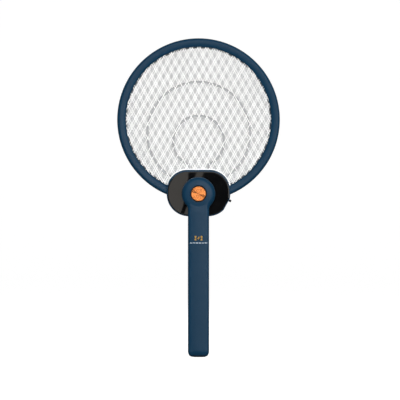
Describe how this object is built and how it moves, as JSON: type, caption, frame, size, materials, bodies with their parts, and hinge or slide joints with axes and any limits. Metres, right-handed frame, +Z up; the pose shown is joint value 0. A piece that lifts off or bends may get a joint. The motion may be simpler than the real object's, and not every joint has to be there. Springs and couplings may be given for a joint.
{
  "type": "electric fly swatter",
  "caption": "Handheld electric fly swatter: round hoop of wire nets on a flat housing that folds on a straight handle, with a push button in the pivot and a slide switch.",
  "frame": {"origin": "on the ground under the handle's end, midway through the depth, when the swatter is held upright", "axes": "+Z up along the handle to the hoop, -Y is the side with the button and the front net, +X to the right seen from there"},
  "size_m": [0.228, 0.048, 0.446],
  "materials": {
    "navy_shell": "soft-touch moulded plastic, fine grain",
    "navy_cap": "moulded plastic, fine grain",
    "dark_steel": "blackened",
    "cell_wrap": "shrink wrap",
    "nickel_strip": "plated",
    "red_lead": "extruded insulation",
    "circuit_board": "solder mask",
    "socket_steel": "drawn",
    "light_pipe": "clear moulded",
    "bright_steel": "plated",
    "switch_plastic": "moulded",
    "bezel_black": "moulded",
    "bush_acetal": "machined",
    "orange_metal": "spun and anodised",
    "fascia_black": "mirror gloss",
    "net_wire": "white coated wire",
    "rib_plastic": "moulded",
    "spindle_steel": "turned",
    "coil_tape": "tape",
    "capacitor_coat": "dipped",
    "part_black": "moulded",
    "resistor_body": "lacquered",
    "contact_brass": "stamped",
    "knob_black": "moulded"
  },
  "bodies": {
    "handle": {"handle_front_shell": "navy_shell", "handle_rear_shell": "navy_shell", "handle_end_cap": "navy_cap", "handle_screws": "dark_steel", "battery_cell": "cell_wrap", "battery_tabs": "nickel_strip", "battery_leads": "red_lead", "charging_board": "circuit_board", "charging_socket": "socket_steel", "charge_light": "light_pipe", "switch_board": "circuit_board", "switch_board_screws": "bright_steel", "press_switch": "switch_plastic", "button_spring": "bright_steel", "button_bezel": "bezel_black", "pivot_bush": "bush_acetal"},
    "button": {"trigger_button": "orange_metal", "button_plunger": "switch_plastic"},
    "head": {"head_front_shell": "navy_shell", "head_rear_shell": "navy_shell", "head_screws": "dark_steel", "front_fascia": "fascia_black", "front_net": "net_wire", "high_voltage_net": "net_wire", "rear_net": "net_wire", "front_ribs": "rib_plastic", "rear_ribs": "rib_plastic", "pivot_spindle": "spindle_steel", "spindle_screws": "bright_steel", "spindle_nut": "spindle_steel", "friction_washer": "bright_steel", "voltage_board": "circuit_board", "board_screws": "bright_steel", "transformer": "coil_tape", "storage_capacitor": "capacitor_coat", "rectifier_diodes": "part_black", "bleed_resistors": "resistor_body", "driver_transistor": "part_black", "net_contacts": "contact_brass", "pivot_leads": "red_lead", "mode_switch_body": "switch_plastic"},
    "mode": {"mode_knob": "knob_black"}
  },
  "joints": [
    {"name": "head_fold", "type": "hinge", "parent": "handle", "child": "head", "pos_m": [0, 0, 0.228], "axis": [0, 1, 0], "range_deg": [0, 180]},
    {"name": "button_press", "type": "slide", "parent": "handle", "child": "button", "axis": [0, 1, 0], "range_m": [0, 0.0015], "stiffness_N_per_m": 900, "springref_m": -0.001, "deforming": ["button_spring"]},
    {"name": "mode_slide", "type": "slide", "parent": "head", "child": "mode", "axis": [-0.4848, 0, -0.8746], "range_m": [0, 0.008]}
  ]
}
